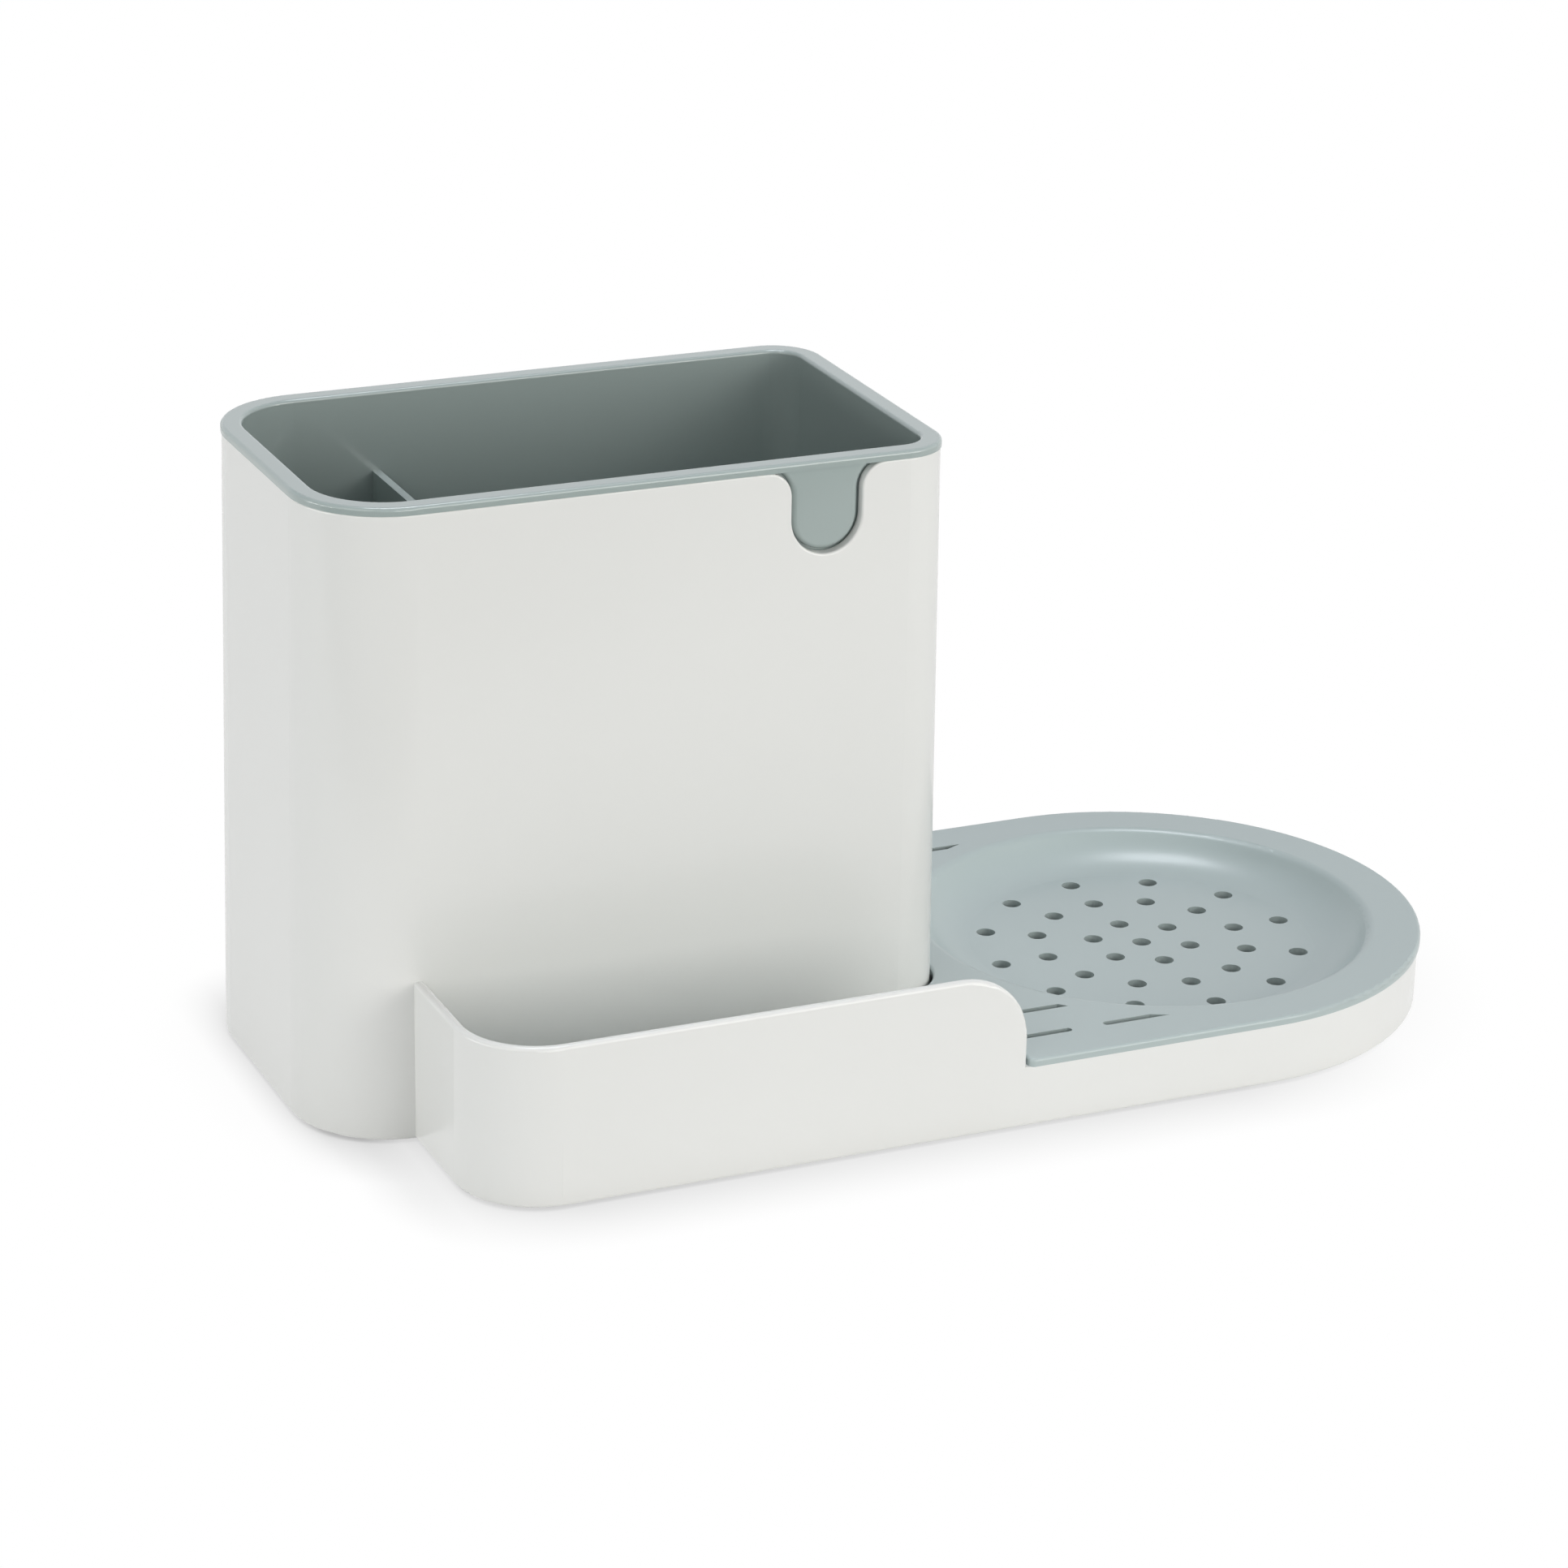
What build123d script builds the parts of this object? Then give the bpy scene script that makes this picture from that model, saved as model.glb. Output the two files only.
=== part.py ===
from build123d import *
import math
import os

# Kitchen sink caddy: a white body with a tall box and a low round-ended well,
# a cup that hangs in the box, a drip tray that lies on the well, and rubber feet.
# Millimetres, +Z up. The origin is on the worktop under the middle of the footprint.
# +X runs towards the round dish, and the trough is in front of the box, towards -Y.

# Driving dimensions

overall_height = 156.4
box_foot_length = 161.1      # outside of the box at its foot, along X
box_foot_depth = 95.4        # and along Y
box_left_corner = 24.5       # plan radius of its two left corners at the foot
box_right_corner = 14.0      # and of the two beside the dish
box_draft = 0.75             # degrees that the box's walls lean in as they rise
box_back_proud = 1.9         # how far the box stands out past the tray's back edge
body_wall = 2.4
body_floor = 2.5
body_edge_round = 1.0        # rounding of the body's free edges

trough_reach = 46.5          # from the box's front wall at its foot to the tray's front edge
trough_height = 41.0         # top of the trough wall over the worktop
trough_set_in = 22.6         # from the box's left wall to the trough's
trough_corner = 20.0         # plan radius where the trough wall turns
trough_end_set_in = 1.6      # from the box's right wall back to the end of the trough wall
trough_end_round = 17.0      # rounding of the top of that end

tray_height = 18.4           # top of the tray over the worktop
tray_thickness = 2.0
tray_overhang = 0.6          # how far the tray stands out past the low wall
tray_clearance = 0.6         # round the box and inside the trough wall
tray_edge_round = 0.8
tray_corner_round = 1.5      # plan rounding of the tray's corners

dish_rim = 11.5              # flat of the tray outside the dish
dish_to_box = 7.2            # and between the dish and the box's right wall
dish_depth = 8.0
dish_edge_bend = 2.6         # radius where the dish leaves the flat of the tray
dish_wall_bend = 14.4        # radius where its wall runs into its floor
drain_hole_diameter = 4.8
drain_ring_shares = (0.279, 0.6035, 0.9007)    # of the radius of the dish's floor
drain_ring_counts = (6, 12, 12)
drain_ring_turns = (30.0, 0.0, 0.0)

slot_width = 2.0
slot_length = 30.0
slot_gap = 8.5               # between two slots of a row
slot_row_pitch = 13.5
slot_row_count = 3
slots_per_row = 6            # as many as fit the long strip
slot_row_set_in = 12.5       # from the tray's long edge to the first row
slot_start = 41.0            # from the middle of the dish back to a slot of the first row
slot_dish_margin = 4.5       # the slots stop this far from the dish
slot_wall_margin = 5.0       # and this far from the tray's own edges

lip_thickness = 2.0
lip_proud = 0.3              # how far the lip stands out past the box's wall
lip_round = 0.9
cup_wall = 2.1
cup_floor = 2.1
cup_clearance = 0.4          # between the cup and the box at the top
cup_draft = 0.6              # degrees that the cup narrows as it goes down
cup_floor_gap = 5.0          # drip space between the cup and the body's floor
cup_floor_bend = 4.5         # inside radius between the cup's walls and floor
divider_set_in = 45.2        # from the box's left wall at its foot to the divider's middle
divider_thickness = 2.0
divider_height = 136.5       # top of the divider over the worktop
cup_drain_pitch = 18.0
cup_drain_columns = 5        # in the wide compartment; the narrow one has a single column
cup_drain_rows = 3

notch_set_in = 35.3          # from the box's right wall at its foot to the notch's middle
notch_width = 18.0
notch_depth = 21.0           # down from the box's top edge
notch_flare = 6.2            # radius at which the notch opens out into the top edge
notch_edge_round = 0.5
tab_clearance = 0.6          # between the cup's tab and the notch
tab_recess = 1.2             # how far the tab lies behind the box's wall
tab_edge_round = 1.4

rib_thickness = 1.8
rib_reach = 4.0
rib_count = 4                # on each side of the trough

foot_diameter = 12.0
foot_proud = 0.8             # how far a foot stands out below the floor
foot_recess = 1.2
foot_clearance = 0.1
foot_edge_chamfer = 0.4
foot_set_in = 16.0           # from the outside walls to a foot's middle
foot_bearing = 45.0          # degrees either side of +Y at which feet stand under the round end
cut_overrun = 5.0            # how far a cut runs past what it cuts

# Sizes worked out from these

body_height = overall_height - lip_thickness - foot_proud
body_top = overall_height - lip_thickness
floor_top = foot_proud + body_floor
box_lean = body_height * math.tan(math.radians(box_draft))
tray_half_width = (box_foot_depth - box_back_proud + trough_reach) / 2
dish_radius = tray_half_width - dish_rim
well_rim = tray_height - tray_thickness
well_half_width = tray_half_width - tray_overhang

# Places

overall_length = box_foot_length + dish_to_box + dish_radius + tray_half_width
dish_x = overall_length / 2 - tray_half_width
dish_y = -box_back_proud / 2
box_right = dish_x - dish_radius - dish_to_box
box_left = box_right - box_foot_length
box_back = dish_y + tray_half_width + box_back_proud
box_front = box_back - box_foot_depth
box_x = (box_left + box_right) / 2
box_y = (box_back + box_front) / 2
trough_left = box_left + trough_set_in
trough_right = box_right - trough_end_set_in
well_front = dish_y - well_half_width
notch_x = box_right - notch_set_in
divider_x = box_left + divider_set_in


def well_outline(inset):
    """The low well and the trough in plan, inset by a wall."""
    reach = well_half_width - inset
    corner = trough_corner - inset
    turn_x = trough_left + trough_corner
    with BuildSketch() as outline:
        with BuildLine():
            Line((dish_x, dish_y + reach), (turn_x, dish_y + reach))
            CenterArc((turn_x, dish_y + reach - corner), corner, 90, 90)
            Line((turn_x - corner, dish_y + reach - corner), (turn_x - corner, dish_y - reach + corner))
            CenterArc((turn_x, dish_y - reach + corner), corner, 180, 90)
            Line((turn_x, dish_y - reach), (dish_x, dish_y - reach))
            CenterArc((dish_x, dish_y), reach, -90, 180)
        make_face()
    return outline.sketch


def box_outline(inset):
    """The foot of the box in plan, inset by a wall, or grown by a clearance where inset is below zero."""
    with BuildSketch() as outline:
        with Locations((box_x, box_y)):
            Rectangle(box_foot_length - 2 * inset, box_foot_depth - 2 * inset)
        fillet(outline.vertices().group_by(Axis.X)[0], radius=box_left_corner - inset)
        fillet(outline.vertices().group_by(Axis.X)[-1], radius=box_right_corner - inset)
    return outline.sketch


def notch_outline(clearance, rise, at_y):
    """The U notch seen from the front, or the tab that fills it with a clearance."""
    half = notch_width / 2 - clearance
    flare = notch_flare + clearance
    flare_x = notch_width / 2 + notch_flare
    flare_z = body_top - notch_flare
    turn = math.degrees(math.asin(notch_flare / flare))
    tip = flare_x - math.sqrt(flare ** 2 - notch_flare ** 2)
    bend_z = body_top - notch_depth + notch_width / 2
    with BuildSketch(Plane.XZ.offset(-at_y)) as outline:
        with BuildLine():
            CenterArc((notch_x, bend_z), half, 180, 180)
            Line((notch_x + half, bend_z), (notch_x + half, flare_z))
            CenterArc((notch_x + flare_x, flare_z), flare, 180, -turn)
            Line((notch_x + tip, body_top), (notch_x + tip, body_top + rise))
            Line((notch_x + tip, body_top + rise), (notch_x - tip, body_top + rise))
            Line((notch_x - tip, body_top + rise), (notch_x - tip, body_top))
            CenterArc((notch_x - flare_x, flare_z), flare, 0, turn)
            Line((notch_x - half, flare_z), (notch_x - half, bend_z))
        make_face()
    return outline.sketch


def on_notch_mouth(point):
    """Whether a point is on the notch's edge on the outside of the box."""
    across = abs(point.X - notch_x) < notch_width / 2 + notch_flare
    along = body_top - notch_depth - notch_edge_round < point.Z < body_top
    outside = point.Y < box_front + box_lean + body_wall / 2
    return across and along and outside


# Places of the feet, from the back left one round to the front left one

foot_orbit = well_half_width - foot_set_in
foot_across = foot_orbit * math.sin(math.radians(foot_bearing))
foot_along = foot_orbit * math.cos(math.radians(foot_bearing))
foot_places = [
    (box_left + box_left_corner, box_back - box_left_corner),
    (box_right - foot_set_in, box_back - foot_set_in),
    (dish_x + foot_across, dish_y + foot_along),
    (dish_x + foot_across, dish_y - foot_along),
    (box_right - foot_set_in, well_front + foot_set_in),
    (trough_left + trough_corner, well_front + trough_corner),
]

# Trough wall: the well's own wall carried up in front of the box, with a rounded end

trough_rear = box_front + body_wall
trough_end_x = trough_right - trough_end_round
trough_end_z = trough_height - trough_end_round
with BuildPart() as trough_wall:
    with BuildSketch(Plane.XY.offset(floor_top)):
        add(well_outline(0))
        add(well_outline(body_wall), mode=Mode.SUBTRACT)
    extrude(amount=trough_height - floor_top)
    with BuildSketch(Plane.XZ.offset(-trough_rear)):
        with BuildLine():
            Line((box_left, floor_top), (trough_right, floor_top))
            Line((trough_right, floor_top), (trough_right, trough_end_z))
            CenterArc((trough_end_x, trough_end_z), trough_end_round, 0, 90)
            Line((trough_end_x, trough_height), (box_left, trough_height))
            Line((box_left, trough_height), (box_left, floor_top))
        make_face()
    extrude(amount=trough_rear - well_front + cut_overrun, mode=Mode.INTERSECT)
    free_edges = trough_wall.edges().filter_by(lambda e: e.center().Z > trough_height - trough_end_round / 2)
    fillet(free_edges, radius=body_edge_round)

# Solid box, whose walls lean in as they rise

with BuildPart() as box_block:
    with BuildSketch(Plane.XY.offset(foot_proud)):
        add(box_outline(0))
    extrude(amount=body_height, taper=box_draft)
    fillet(box_block.faces().sort_by(Axis.Z)[0].edges(), radius=body_edge_round)

# Ribs that carry the tray's strip, evenly along both sides of the trough

rib_run = trough_right - trough_left - 2 * trough_corner
rib_pitch = rib_run / (rib_count - 1)
rib_x = trough_left + trough_corner + rib_run / 2

# Outer body: the floor and low wall, the ribs, the trough wall, then the box over them

with BuildPart() as outer_body:
    with BuildSketch(Plane.XY.offset(foot_proud)):
        add(well_outline(0))
    extrude(amount=well_rim - foot_proud)
    fillet(outer_body.faces().sort_by(Axis.Z)[0].edges(), radius=body_edge_round)
    with BuildSketch(Plane.XY.offset(floor_top)):
        add(well_outline(body_wall))
    extrude(amount=well_rim - floor_top, mode=Mode.SUBTRACT)
    with BuildSketch(Plane.XY.offset(floor_top)):
        with Locations((rib_x, well_front), (rib_x, box_front - rib_reach)):
            with GridLocations(rib_pitch, 0, rib_count, 1):
                Rectangle(rib_thickness, body_wall + rib_reach, align=(Align.CENTER, Align.MIN))
    extrude(amount=well_rim - floor_top)
    add(trough_wall.part)
    add(box_block.part)
    with BuildSketch(Plane.XY.offset(floor_top)):
        add(box_outline(box_lean + body_wall))
    extrude(amount=body_top - floor_top, mode=Mode.SUBTRACT)
    notch_run = 2 * cut_overrun + box_lean + body_wall
    extrude(notch_outline(0, cut_overrun, box_front - cut_overrun), amount=-notch_run, mode=Mode.SUBTRACT)
    notch_edges = outer_body.edges().filter_by(lambda e: on_notch_mouth(e.center()))
    fillet(notch_edges, radius=notch_edge_round)
    with BuildSketch(Plane.XY.offset(foot_proud)):
        with Locations(*foot_places):
            Circle(foot_diameter / 2 + foot_clearance)
    extrude(amount=foot_recess, mode=Mode.SUBTRACT)

# Inner cup: the lip, the tapered cup below it, the tab and two compartments

cup_inset = box_lean + body_wall + cup_clearance
cup_left = box_left + cup_inset + cup_wall
cup_right = box_right - cup_inset - cup_wall
cup_bottom = floor_top + cup_floor_gap
cup_floor_top = cup_bottom + cup_floor
wide_middle = (divider_x + cup_right) / 2
narrow_middle = (divider_x + cup_left) / 2

with BuildPart() as cup_cavity:
    with BuildSketch(Plane.XY.offset(overall_height)):
        add(box_outline(cup_inset + cup_wall))
    extrude(amount=cup_floor_top - overall_height, taper=cup_draft)
    fillet(cup_cavity.faces().sort_by(Axis.Z)[0].edges(), radius=cup_floor_bend)
    with BuildSketch(Plane.XY.offset(cup_floor_top)):
        with Locations((divider_x, box_y)):
            Rectangle(divider_thickness, box_foot_depth)
    extrude(amount=divider_height - cup_floor_top, mode=Mode.SUBTRACT)

tab_front = box_front + box_lean + tab_recess
with BuildPart() as cup_tab:
    extrude(notch_outline(tab_clearance, lip_thickness / 2, tab_front), amount=-(body_wall + cup_clearance))
    tab_edges = cup_tab.faces().sort_by(Axis.Y)[0].edges().filter_by(lambda e: e.center().Z < body_top)
    fillet(tab_edges, radius=tab_edge_round)

with BuildPart() as inner_cup:
    with BuildSketch(Plane.XY.offset(body_top)):
        add(box_outline(cup_inset))
    extrude(amount=cup_bottom - body_top, taper=cup_draft)
    fillet(inner_cup.faces().sort_by(Axis.Z)[0].edges(), radius=cup_floor_bend + cup_floor)
    with BuildSketch(Plane.XY.offset(body_top)):
        add(box_outline(box_lean - lip_proud))
    extrude(amount=lip_thickness)
    add(cup_tab.part)
    add(cup_cavity.part, mode=Mode.SUBTRACT)
    fillet(inner_cup.faces().sort_by(Axis.Z)[-1].edges(), radius=lip_round)
    with BuildSketch(Plane.XY.offset(cup_bottom)):
        with Locations((wide_middle, box_y)):
            with GridLocations(cup_drain_pitch, cup_drain_pitch, cup_drain_columns, cup_drain_rows):
                Circle(drain_hole_diameter / 2)
        with Locations((narrow_middle, box_y)):
            with GridLocations(0, cup_drain_pitch, 1, cup_drain_rows):
                Circle(drain_hole_diameter / 2)
    extrude(amount=cup_floor, mode=Mode.SUBTRACT)

# Drip tray: the flat L with its dish, the drain holes and the slots

strip_left = trough_left + body_wall + tray_clearance
strip_front = well_front + body_wall + tray_clearance
strip_right = trough_right + tray_clearance
with BuildSketch(Plane.XY.offset(well_rim)) as tray_outline:
    with Locations((dish_x, dish_y)):
        Circle(tray_half_width)
    with Locations((strip_right, dish_y - tray_half_width)):
        Rectangle(dish_x - strip_right, 2 * tray_half_width, align=(Align.MIN, Align.MIN))
    with Locations((strip_right, dish_y)):
        Rectangle(box_right_corner, tray_half_width, align=(Align.MAX, Align.MIN))
    with Locations((strip_left, strip_front)):
        strip_depth = box_front + box_right_corner - strip_front
        Rectangle(strip_right - strip_left, strip_depth, align=(Align.MIN, Align.MIN))
    add(box_outline(-tray_clearance), mode=Mode.SUBTRACT)
    left_corners = tray_outline.vertices().group_by(Axis.X)[0].sort_by(Axis.Y)
    fillet(left_corners[0], radius=trough_corner - body_wall - tray_clearance)
    fillet(left_corners[-1], radius=tray_corner_round)
    step_corners = tray_outline.vertices().filter_by_position(
        Axis.X, strip_right - tray_clearance, strip_right + tray_clearance
    )
    fillet(step_corners.sort_by(Axis.Y)[0], radius=tray_corner_round)
    back_tips = tray_outline.vertices().filter_by_position(Axis.X, box_right - box_right_corner, strip_right)
    fillet(back_tips.sort_by(Axis.Y)[-1], radius=tray_corner_round)


# Field of the slots: inside the tray's edges, clear of the dish and of the strip beside the box

slot_first_row = tray_half_width - slot_row_set_in
slot_last_row = slot_first_row - (slot_row_count - 1) * slot_row_pitch
with BuildSketch(Plane.XY.offset(well_rim)) as slot_field:
    add(tray_outline.sketch)
    offset(amount=-slot_wall_margin, kind=Kind.INTERSECTION)
    with Locations((dish_x, dish_y)):
        Circle(dish_radius + slot_dish_margin, mode=Mode.SUBTRACT)
    beside_box = 2 * slot_last_row + slot_row_pitch
    with Locations((box_right - slot_wall_margin, dish_y)):
        Rectangle(dish_x - box_right, beside_box, align=(Align.MIN, Align.CENTER), mode=Mode.SUBTRACT)

slot_pitch = slot_length + slot_gap
with BuildSketch(Plane.XY.offset(well_rim)) as tray_slots:
    for row in range(slot_row_count):
        row_y = slot_first_row - row * slot_row_pitch
        first_x = dish_x - slot_start + slot_length / 2 - (row % 2) * slot_pitch / 2
        for side in (-1, 1):
            for step in range(slots_per_row):
                with Locations((first_x - step * slot_pitch, dish_y + side * row_y)):
                    SlotOverall(slot_length, slot_width)
    add(slot_field.sketch, mode=Mode.INTERSECT)

# Section of the dish: two bends meet in its wall, and the underside runs parallel to them

dish_turn = math.degrees(math.acos(1 - dish_depth / (dish_edge_bend + dish_wall_bend)))
dish_floor_radius = dish_radius - (dish_edge_bend + dish_wall_bend) * math.sin(math.radians(dish_turn))
dish_floor_z = tray_height - dish_depth
dish_under_z = dish_floor_z - tray_thickness
with BuildSketch(Plane.XZ.offset(-dish_y)) as dish_section:
    with BuildLine():
        inside_floor = Line((dish_x, dish_floor_z), (dish_x + dish_floor_radius, dish_floor_z))
        inside_wall = JernArc(inside_floor @ 1, (1, 0), dish_wall_bend, dish_turn)
        inside_edge = JernArc(inside_wall @ 1, inside_wall % 1, dish_edge_bend, -dish_turn)
        under_floor = Line((dish_x, dish_under_z), (dish_x + dish_floor_radius, dish_under_z))
        under_wall = JernArc(under_floor @ 1, (1, 0), dish_wall_bend + tray_thickness, dish_turn)
        under_edge = JernArc(under_wall @ 1, under_wall % 1, dish_edge_bend - tray_thickness, -dish_turn)
        Line(inside_floor @ 0, under_floor @ 0)
        Line(inside_edge @ 1, under_edge @ 1)
    make_face()

with BuildPart() as drip_tray:
    add(tray_outline.sketch)
    extrude(amount=tray_thickness)
    fillet(drip_tray.faces().sort_by(Axis.Z)[-1].edges(), radius=tray_edge_round)
    with BuildSketch(Plane.XY.offset(well_rim)):
        with Locations((dish_x, dish_y)):
            Circle(dish_radius)
    extrude(amount=tray_thickness, mode=Mode.SUBTRACT)
    add(dish_section.sketch)
    revolve(axis=Axis((dish_x, dish_y, 0), (0, 0, 1)))
    with BuildSketch(Plane.XY.offset(dish_under_z)):
        with Locations((dish_x, dish_y)):
            Circle(drain_hole_diameter / 2)
            for share, count, turn in zip(drain_ring_shares, drain_ring_counts, drain_ring_turns):
                with PolarLocations(share * dish_floor_radius, count, start_angle=turn):
                    Circle(drain_hole_diameter / 2)
    extrude(amount=tray_thickness, mode=Mode.SUBTRACT)
    add(tray_slots.sketch)
    extrude(amount=tray_thickness, mode=Mode.SUBTRACT)

# Feet: round pads in the recesses under the floor

feet = []
for place in foot_places:
    with BuildPart() as foot:
        with BuildSketch():
            with Locations(place):
                Circle(foot_diameter / 2)
        extrude(amount=foot_proud + foot_recess)
        chamfer(foot.edges().group_by(Axis.Z)[0], length=foot_edge_chamfer)
    feet.append(foot.part)

# One file for each piece

os.makedirs("parts", exist_ok=True)
outer_body.part.label = "outer_body"
export_step(outer_body.part, "parts/outer_body.step")
inner_cup.part.label = "inner_cup"
export_step(inner_cup.part, "parts/inner_cup.step")
drip_tray.part.label = "drip_tray"
export_step(drip_tray.part, "parts/drip_tray.step")
for number, pad in enumerate(feet, start=1):
    pad.label = f"foot_{number}"
    export_step(pad, f"parts/foot_{number}.step")
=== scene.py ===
# Kitchen sink caddy: plastics, rubber feet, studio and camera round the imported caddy.
# Metres, +Z up. The caddy stands on the counter with its dish towards +X and its trough towards -Y.

import math

import bpy
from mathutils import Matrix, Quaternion, Vector

# Camera, found from the rings of drain holes and the straight edges

CAMERA_PLACE = (-0.47748, -1.00959, 0.50160)
CAMERA_AZIMUTH = -24.286    # degrees, seen from the front left
CAMERA_ELEVATION = 21.418
CAMERA_ROLL = 1.307
CAMERA_LENS = 112.66        # millimetres, on a sensor 36 mm wide
CAMERA_SENSOR = 36.0
CAMERA_NEAR, CAMERA_FAR = 0.05, 20.0

# Colours of the plastics and the rubber, as shares of the light that they send back

BODY_WHITE = (0.797, 0.802, 0.786)
CUP_BLUE_GREY = (0.352, 0.416, 0.407)
TRAY_BLUE_GREY = (0.426, 0.498, 0.497)
PAD_GREY = (0.100, 0.100, 0.100)

# Surface of the mouldings: index of refraction, and waves of the mould's slow ripple per metre

PLASTIC_IOR = 1.5
MOULD_RIPPLE_SCALE = 45.0
PAD_RIPPLE_SCALE = 300.0

# Studio. The counter is white. Its reflections are painted: white up to a line in front of the
# caddy, and a painted darker room past it, though the counter's mesh goes on.

WORLD_LIGHT = 0.12          # light that the room sends to the caddy
BACKGROUND_WHITE = 1.0      # what the camera and the reflections see of the room
COUNTER_REACH = 3.0         # of the counter's mesh, from its middle to its sides
COUNTER_BOUNCE = 0.85       # share of the light that the counter sends back
COUNTER_MIRRORED = 0.90     # what the reflections see of the counter
PAINTED_DARK_REFLECTION = 0.10       # painted dark reflection that they see past that line
PAINTED_REFLECTION_EDGE = (-0.240, -0.195)         # a point of the line where the painted dark reflection begins
PAINTED_REFLECTION_EDGE_NORMAL = (0.510, 0.860)    # level, from that line towards the caddy
PAINTED_REFLECTION_EDGE_SOFTNESS = 0.012           # half the width of the step from dark to white

# Contact shadow on the counter: deepest in front of the box's left corner, faint at the two ends

SHADOW_REACH = 0.0225       # how far from the caddy's walls it still shows
SHADOW_DEPTH = 0.60         # share of the white that it takes where it is deepest
SHADOW_SAMPLES = 16
SHADOW_ALONG = [            # place along X and share of that depth
    (-0.156, 0.12), (-0.144, 1.00), (-0.137, 1.00), (-0.129, 0.62),
    (-0.100, 0.70), (0.000, 0.56), (0.070, 0.60), (0.120, 0.12),
]

# Softboxes: name, place, size, watts and tint. They all face the middle of the caddy.

SOFTBOX_AIM = (0.0, 0.0, 0.06)
SOFTBOXES = [
    ("overhead_softbox", (0.05, 0.15, 1.4), (0.6, 0.5), 8.4, (0.95, 0.99, 1.06)),
    ("front_softbox", (0.6, -1.4, 0.50), (1.4, 0.9), 9.8, (1.02, 1.01, 0.98)),
    ("front_right_softbox", (1.0, -1.2, 0.45), (1.2, 0.8), 5.2, (1.03, 1.01, 0.96)),
    ("left_front_softbox", (-1.2, -0.9, 0.60), (1.1, 1.0), 5.0, (1.01, 1.01, 0.98)),
    ("low_left_softbox", (-1.4, 0.1, 0.12), (0.9, 0.2), 5.4, (1.00, 1.01, 0.99)),
    ("low_right_softbox", (1.4, -0.3, 0.30), (0.8, 0.4), 0.7, (1.05, 1.00, 0.95)),
]


def shader_group(name, inputs, outputs):
    """A node group with the named sockets, and its input and output nodes."""
    group = bpy.data.node_groups.new(name, "ShaderNodeTree")
    for label, kind, value in inputs:
        socket = group.interface.new_socket(label, in_out="INPUT", socket_type=kind)
        socket.default_value = value
    for label, kind in outputs:
        group.interface.new_socket(label, in_out="OUTPUT", socket_type=kind)
    return group, group.nodes.new("NodeGroupInput"), group.nodes.new("NodeGroupOutput")


def worked_out(tree, operation, *values):
    """One step of arithmetic on numbers and sockets."""
    node = tree.nodes.new("ShaderNodeMath")
    node.operation = operation
    for number, value in enumerate(values):
        if isinstance(value, float):
            node.inputs[number].default_value = value
        else:
            tree.links.new(value, node.inputs[number])
    return node.outputs[0]


def mapped(tree, value, start=0.0, end=1.0, first=0.0, last=1.0, smooth=False):
    """first up to start and last from end on, with a straight or smooth climb between them."""
    node = tree.nodes.new("ShaderNodeMapRange")
    if smooth:
        node.interpolation_type = "SMOOTHSTEP"
    limits = {"From Min": start, "From Max": end, "To Min": first, "To Max": last}
    for label, limit in limits.items():
        node.inputs[label].default_value = limit
    tree.links.new(value, node.inputs["Value"])
    return node.outputs["Result"]


def noise_on(tree, place, scale, detail=2.0):
    """Noise over an object's own place, finer as scale rises."""
    noise = tree.nodes.new("ShaderNodeTexNoise")
    noise.inputs["Detail"].default_value = detail
    tree.links.new(place, noise.inputs["Vector"])
    tree.links.new(scale, noise.inputs["Scale"])
    return noise.outputs["Fac"]


def spread_round(tree, centre, spread, noise):
    """centre, moved up and down by noise to half of spread each way."""
    swing = worked_out(tree, "SUBTRACT", noise, 0.5)
    return worked_out(tree, "MULTIPLY_ADD", swing, spread, centre)


def make_pigment_drift():
    """Plastic colour whose pigment is mixed a little unevenly."""
    tree, given, sent = shader_group(
        "pigment_drift",
        [
            ("Colour", "NodeSocketColor", (0.8, 0.8, 0.8, 1.0)),
            ("Drift", "NodeSocketFloat", 0.02),
            ("Scale", "NodeSocketFloat", 14.0),
        ],
        [("Colour", "NodeSocketColor")],
    )
    place = tree.nodes.new("ShaderNodeTexCoord")
    noise = noise_on(tree, place.outputs["Object"], given.outputs["Scale"])
    gain = spread_round(tree, 1.0, given.outputs["Drift"], noise)
    tint = tree.nodes.new("ShaderNodeVectorMath")
    tint.operation = "SCALE"
    tree.links.new(given.outputs["Colour"], tint.inputs[0])
    tree.links.new(gain, tint.inputs["Scale"])
    tree.links.new(tint.outputs[0], sent.inputs["Colour"])
    return tree


def make_handled_gloss():
    """Roughness of a moulded face, duller where it was handled or wiped."""
    tree, given, sent = shader_group(
        "handled_gloss",
        [
            ("Roughness", "NodeSocketFloat", 0.2),
            ("Spread", "NodeSocketFloat", 0.05),
            ("Scale", "NodeSocketFloat", 22.0),
        ],
        [("Roughness", "NodeSocketFloat")],
    )
    place = tree.nodes.new("ShaderNodeTexCoord")
    noise = noise_on(tree, place.outputs["Object"], given.outputs["Scale"], detail=3.0)
    rough = spread_round(tree, given.outputs["Roughness"], given.outputs["Spread"], noise)
    tree.links.new(rough, sent.inputs["Roughness"])
    return tree


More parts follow.
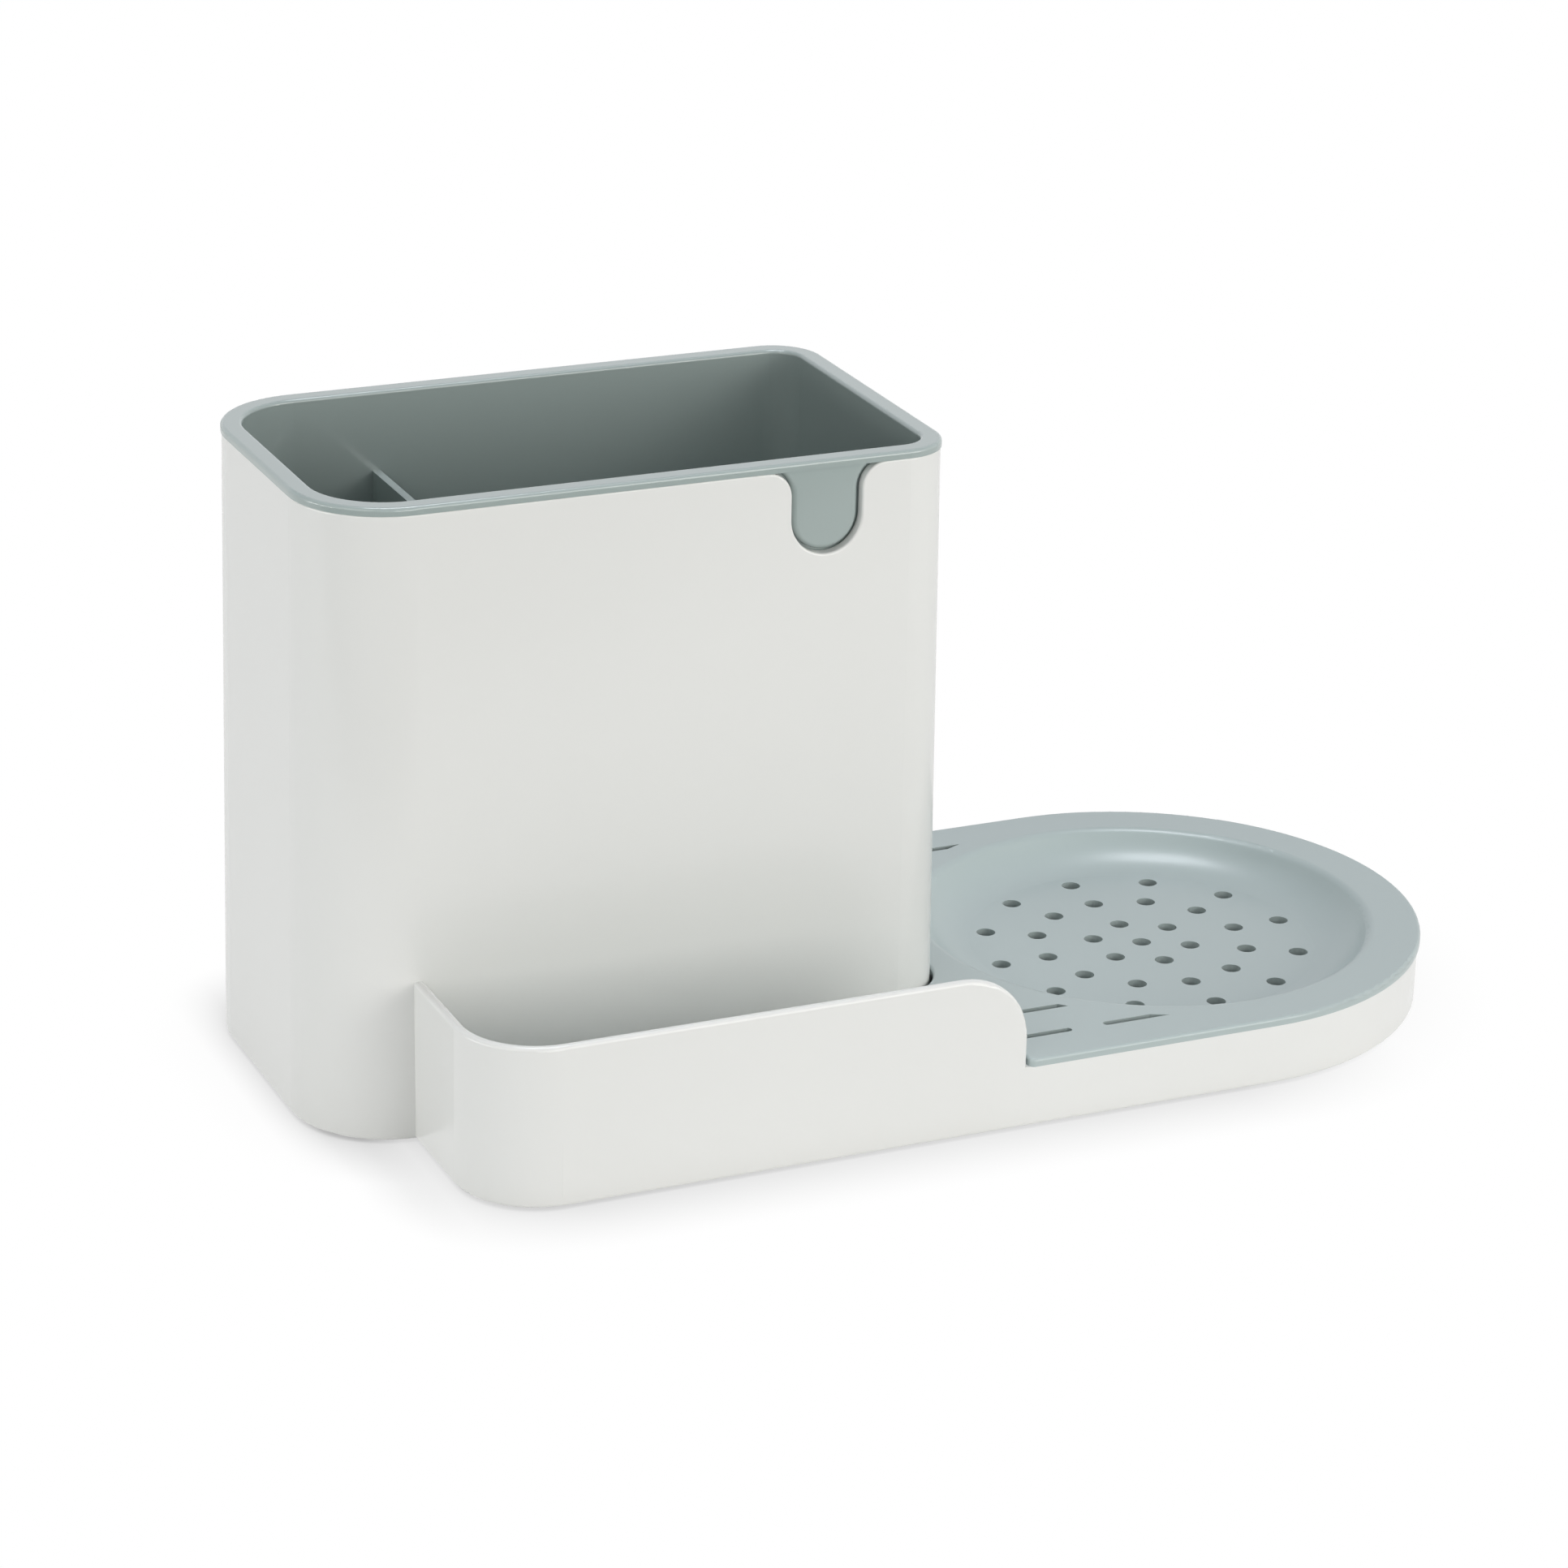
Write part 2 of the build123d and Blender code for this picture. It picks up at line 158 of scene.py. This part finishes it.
def make_mould_skin():
    """Height of the mould's own surface in metres: slow ripple under a fine grain."""
    tree, given, sent = shader_group(
        "mould_skin",
        [
            ("Ripple Scale", "NodeSocketFloat", 60.0),
            ("Ripple", "NodeSocketFloat", 0.00002),
            ("Grain Scale", "NodeSocketFloat", 3000.0),
            ("Grain", "NodeSocketFloat", 0.000002),
        ],
        [("Height", "NodeSocketFloat")],
    )
    place = tree.nodes.new("ShaderNodeTexCoord")
    ripple = noise_on(tree, place.outputs["Object"], given.outputs["Ripple Scale"], detail=1.0)
    grain = noise_on(tree, place.outputs["Object"], given.outputs["Grain Scale"], detail=2.0)
    slow = worked_out(tree, "MULTIPLY", ripple, given.outputs["Ripple"])
    both = worked_out(tree, "MULTIPLY_ADD", grain, given.outputs["Grain"], slow)
    tree.links.new(both, sent.inputs["Height"])
    return tree


def placed(tree, group, **values):
    """A node group in a material, with its own values. Underscores stand for spaces."""
    node = tree.nodes.new("ShaderNodeGroup")
    node.node_tree = group
    for label, value in values.items():
        node.inputs[label.replace("_", " ")].default_value = value
    return node


def plastic(name, groups, colour, drift, rough, skin, coat=0.0, coat_rough=0.03):
    """A moulded plastic: pigment, gloss and skin from the shared groups on one shader."""
    material = bpy.data.materials.new(name)
    material.use_nodes = True
    tree = material.node_tree
    shader = tree.nodes["Principled BSDF"]
    pigment = placed(tree, groups["pigment"], Colour=(*colour, 1.0), Drift=drift)
    gloss = placed(tree, groups["gloss"], Roughness=rough[0], Spread=rough[1])
    mould = placed(tree, groups["skin"], **skin)
    bump = tree.nodes.new("ShaderNodeBump")
    bump.inputs["Strength"].default_value = 1.0
    bump.inputs["Distance"].default_value = 1.0
    tree.links.new(pigment.outputs["Colour"], shader.inputs["Base Color"])
    tree.links.new(gloss.outputs["Roughness"], shader.inputs["Roughness"])
    tree.links.new(mould.outputs["Height"], bump.inputs["Height"])
    tree.links.new(bump.outputs["Normal"], shader.inputs["Normal"])
    shader.inputs["IOR"].default_value = PLASTIC_IOR
    shader.inputs["Coat Weight"].default_value = coat
    shader.inputs["Coat Roughness"].default_value = coat_rough
    return material


def wear(node, material):
    """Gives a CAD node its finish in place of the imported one."""
    node.data.materials[0] = material


def seen_by(tree, rays):
    """1 for the kinds of ray that are named, and 0 for the others."""
    path = tree.nodes.new("ShaderNodeLightPath")
    seen = path.outputs[rays[0]]
    for ray in rays[1:]:
        seen = worked_out(tree, "MAXIMUM", seen, path.outputs[ray])
    return seen


def light_studio():
    """White walls all round: plain white to the camera and in reflections, softer as light."""
    world = bpy.data.worlds.new("studio_walls")
    bpy.context.scene.world = world
    world.use_nodes = True
    tree = world.node_tree
    walls = tree.nodes["Background"]
    white = seen_by(tree, ("Is Camera Ray", "Is Glossy Ray", "Is Transmission Ray"))
    strength = mapped(tree, white, first=WORLD_LIGHT, last=BACKGROUND_WHITE)
    tree.links.new(strength, walls.inputs["Strength"])
    walls.inputs["Color"].default_value = (1.0, 1.0, 1.0, 1.0)


def softbox(name, place, aim, size, watts, tint):
    """A flat lamp of the given width and height that faces aim."""
    lamp = bpy.data.lights.new(name, "AREA")
    lamp.shape = "RECTANGLE"
    lamp.size, lamp.size_y = size
    lamp.energy = watts
    lamp.color = tint
    holder = bpy.data.objects.new(name, lamp)
    holder.location = place
    holder.rotation_euler = (Vector(aim) - Vector(place)).to_track_quat("-Z", "Y").to_euler()
    bpy.context.scene.collection.objects.link(holder)


def glow(tree, strength):
    """Plain white light of that strength."""
    node = tree.nodes.new("ShaderNodeEmission")
    tree.links.new(strength, node.inputs["Strength"])
    return node.outputs[0]


def matt(tree, grey):
    """A matt surface of that grey."""
    node = tree.nodes.new("ShaderNodeBsdfDiffuse")
    node.inputs["Color"].default_value = (grey, grey, grey, 1.0)
    return node.outputs[0]


def either(tree, share, first, second):
    """first where share is 0 and second where it is 1."""
    node = tree.nodes.new("ShaderNodeMixShader")
    tree.links.new(share, node.inputs[0])
    tree.links.new(first, node.inputs[1])
    tree.links.new(second, node.inputs[2])
    return node.outputs[0]


def share_along(tree, value):
    """The shadow's share at a place along X, in straight lines between the given points."""
    start, end = SHADOW_ALONG[0][0], SHADOW_ALONG[-1][0]
    ramp = tree.nodes.new("ShaderNodeValToRGB")
    stops = ramp.color_ramp.elements
    stops.remove(stops[1])
    for number, (place, share) in enumerate(SHADOW_ALONG):
        position = (place - start) / (end - start)
        stop = stops.new(position) if number else stops[0]
        stop.position = position
        stop.color = (share, share, share, 1.0)
    tree.links.new(mapped(tree, value, start, end), ramp.inputs["Fac"])
    return ramp.outputs["Color"]


def contact_shadow(tree, place):
    """Plain white, darker where the caddy covers the counter or stands close to it."""
    cover = tree.nodes.new("ShaderNodeAmbientOcclusion")
    cover.samples = SHADOW_SAMPLES
    cover.inputs["Distance"].default_value = SHADOW_REACH
    along = tree.nodes.new("ShaderNodeSeparateXYZ")
    tree.links.new(place, along.inputs[0])
    depth = worked_out(tree, "MULTIPLY", share_along(tree, along.outputs["X"]), SHADOW_DEPTH)
    covered = worked_out(tree, "SUBTRACT", 1.0, cover.outputs["AO"])
    taken = worked_out(tree, "MULTIPLY", depth, covered)
    return worked_out(tree, "SUBTRACT", BACKGROUND_WHITE, taken)


def painted_counter_reflection(tree, place):
    """Painted reflection of the counter: white up to a line in front of the caddy, and a painted
    darker room past it.
    """
    inwards = tree.nodes.new("ShaderNodeVectorMath")
    inwards.operation = "DOT_PRODUCT"
    inwards.inputs[1].default_value = (*PAINTED_REFLECTION_EDGE_NORMAL, 0.0)
    tree.links.new(place, inwards.inputs[0])
    edge = sum(a * b for a, b in zip(PAINTED_REFLECTION_EDGE, PAINTED_REFLECTION_EDGE_NORMAL))
    start, end = edge - PAINTED_REFLECTION_EDGE_SOFTNESS, edge + PAINTED_REFLECTION_EDGE_SOFTNESS
    distance = inwards.outputs["Value"]
    # Painted reflection: glossy rays see a dark glow past the line, where the counter in fact goes
    # on.
    strength = mapped(tree, distance, start, end, PAINTED_DARK_REFLECTION, COUNTER_MIRRORED, smooth=True)
    return glow(tree, strength)


def make_counter():
    """The white counter: it bounces light, and the camera sees only the contact shadow on it."""
    mesh = bpy.data.meshes.new("counter")
    r = COUNTER_REACH
    mesh.from_pydata([(-r, -r, 0), (r, -r, 0), (r, r, 0), (-r, r, 0)], [], [(0, 1, 2, 3)])
    counter = bpy.data.objects.new("counter", mesh)
    bpy.context.scene.collection.objects.link(counter)
    material = bpy.data.materials.new("counter_white")
    material.use_nodes = True
    tree = material.node_tree
    tree.nodes.remove(tree.nodes["Principled BSDF"])
    place = tree.nodes.new("ShaderNodeTexCoord").outputs["Object"]
    for_camera = glow(tree, contact_shadow(tree, place))
    mirrored_rays = seen_by(tree, ("Is Glossy Ray", "Is Transmission Ray"))
    # Reflections see the painted counter reflection. Other rays that are not from the camera see
    # the matt counter.
    for_others = either(
        tree, mirrored_rays, matt(tree, COUNTER_BOUNCE), painted_counter_reflection(tree, place)
    )
    final = either(tree, seen_by(tree, ("Is Camera Ray",)), for_others, for_camera)
    tree.links.new(final, tree.nodes["Material Output"].inputs["Surface"])
    mesh.materials.append(material)
    return counter


def make_camera():
    """The photograph's camera."""
    data = bpy.data.cameras.new("photograph_camera")
    data.lens = CAMERA_LENS
    data.sensor_width = CAMERA_SENSOR
    data.clip_start, data.clip_end = CAMERA_NEAR, CAMERA_FAR
    azimuth, elevation = math.radians(CAMERA_AZIMUTH), math.radians(CAMERA_ELEVATION)
    back = Vector((
        math.sin(azimuth) * math.cos(elevation),
        -math.cos(azimuth) * math.cos(elevation),
        math.sin(elevation),
    ))
    camera = bpy.data.objects.new("photograph_camera", data)
    camera.location = CAMERA_PLACE
    camera.rotation_mode = "QUATERNION"
    level = (-back).to_track_quat("-Z", "Y")
    camera.rotation_quaternion = level @ Quaternion((0, 0, 1), math.radians(CAMERA_ROLL))
    bpy.context.scene.collection.objects.link(camera)
    bpy.context.scene.camera = camera


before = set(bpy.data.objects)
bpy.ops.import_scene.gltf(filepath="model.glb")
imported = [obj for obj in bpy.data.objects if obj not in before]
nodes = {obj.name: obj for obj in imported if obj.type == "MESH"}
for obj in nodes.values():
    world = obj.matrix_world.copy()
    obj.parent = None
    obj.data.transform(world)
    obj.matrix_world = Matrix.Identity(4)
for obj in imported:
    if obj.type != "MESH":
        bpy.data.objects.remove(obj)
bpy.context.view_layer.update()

groups = {
    "pigment": make_pigment_drift(),
    "gloss": make_handled_gloss(),
    "skin": make_mould_skin(),
}

gloss_white = plastic(
    "gloss_white_plastic", groups, BODY_WHITE, drift=0.02, rough=(0.22, 0.04),
    skin={"Ripple_Scale": MOULD_RIPPLE_SCALE, "Ripple": 0.000006, "Grain": 0.0},
    coat=0.2, coat_rough=0.15,
)
gloss_blue_grey = plastic(
    "gloss_blue_grey_plastic", groups, CUP_BLUE_GREY, drift=0.03, rough=(0.22, 0.04),
    skin={"Ripple_Scale": MOULD_RIPPLE_SCALE, "Ripple": 0.000002, "Grain": 0.0},
    coat=0.5, coat_rough=0.05,
)
satin_blue_grey = plastic(
    "satin_blue_grey_plastic", groups, TRAY_BLUE_GREY, drift=0.03, rough=(0.33, 0.05),
    skin={
        "Ripple_Scale": MOULD_RIPPLE_SCALE, "Ripple": 0.000006,
        "Grain_Scale": 2500.0, "Grain": 0.0000015,
    },
    coat=0.2, coat_rough=0.24,
)
pad_rubber = plastic(
    "pad_rubber", groups, PAD_GREY, drift=0.10, rough=(0.72, 0.08),
    skin={
        "Ripple_Scale": PAD_RIPPLE_SCALE, "Ripple": 0.00001,
        "Grain_Scale": 4000.0, "Grain": 0.00001,
    },
)

wear(nodes["outer_body"], gloss_white)
wear(nodes["inner_cup"], gloss_blue_grey)
wear(nodes["drip_tray"], satin_blue_grey)
for name, node in nodes.items():
    if name.startswith("foot_"):
        wear(node, pad_rubber)

make_counter()
light_studio()
for name, place, size, watts, tint in SOFTBOXES:
    softbox(name, place, SOFTBOX_AIM, size, watts, tint)
make_camera()

bpy.context.scene.view_settings.view_transform = "Standard"
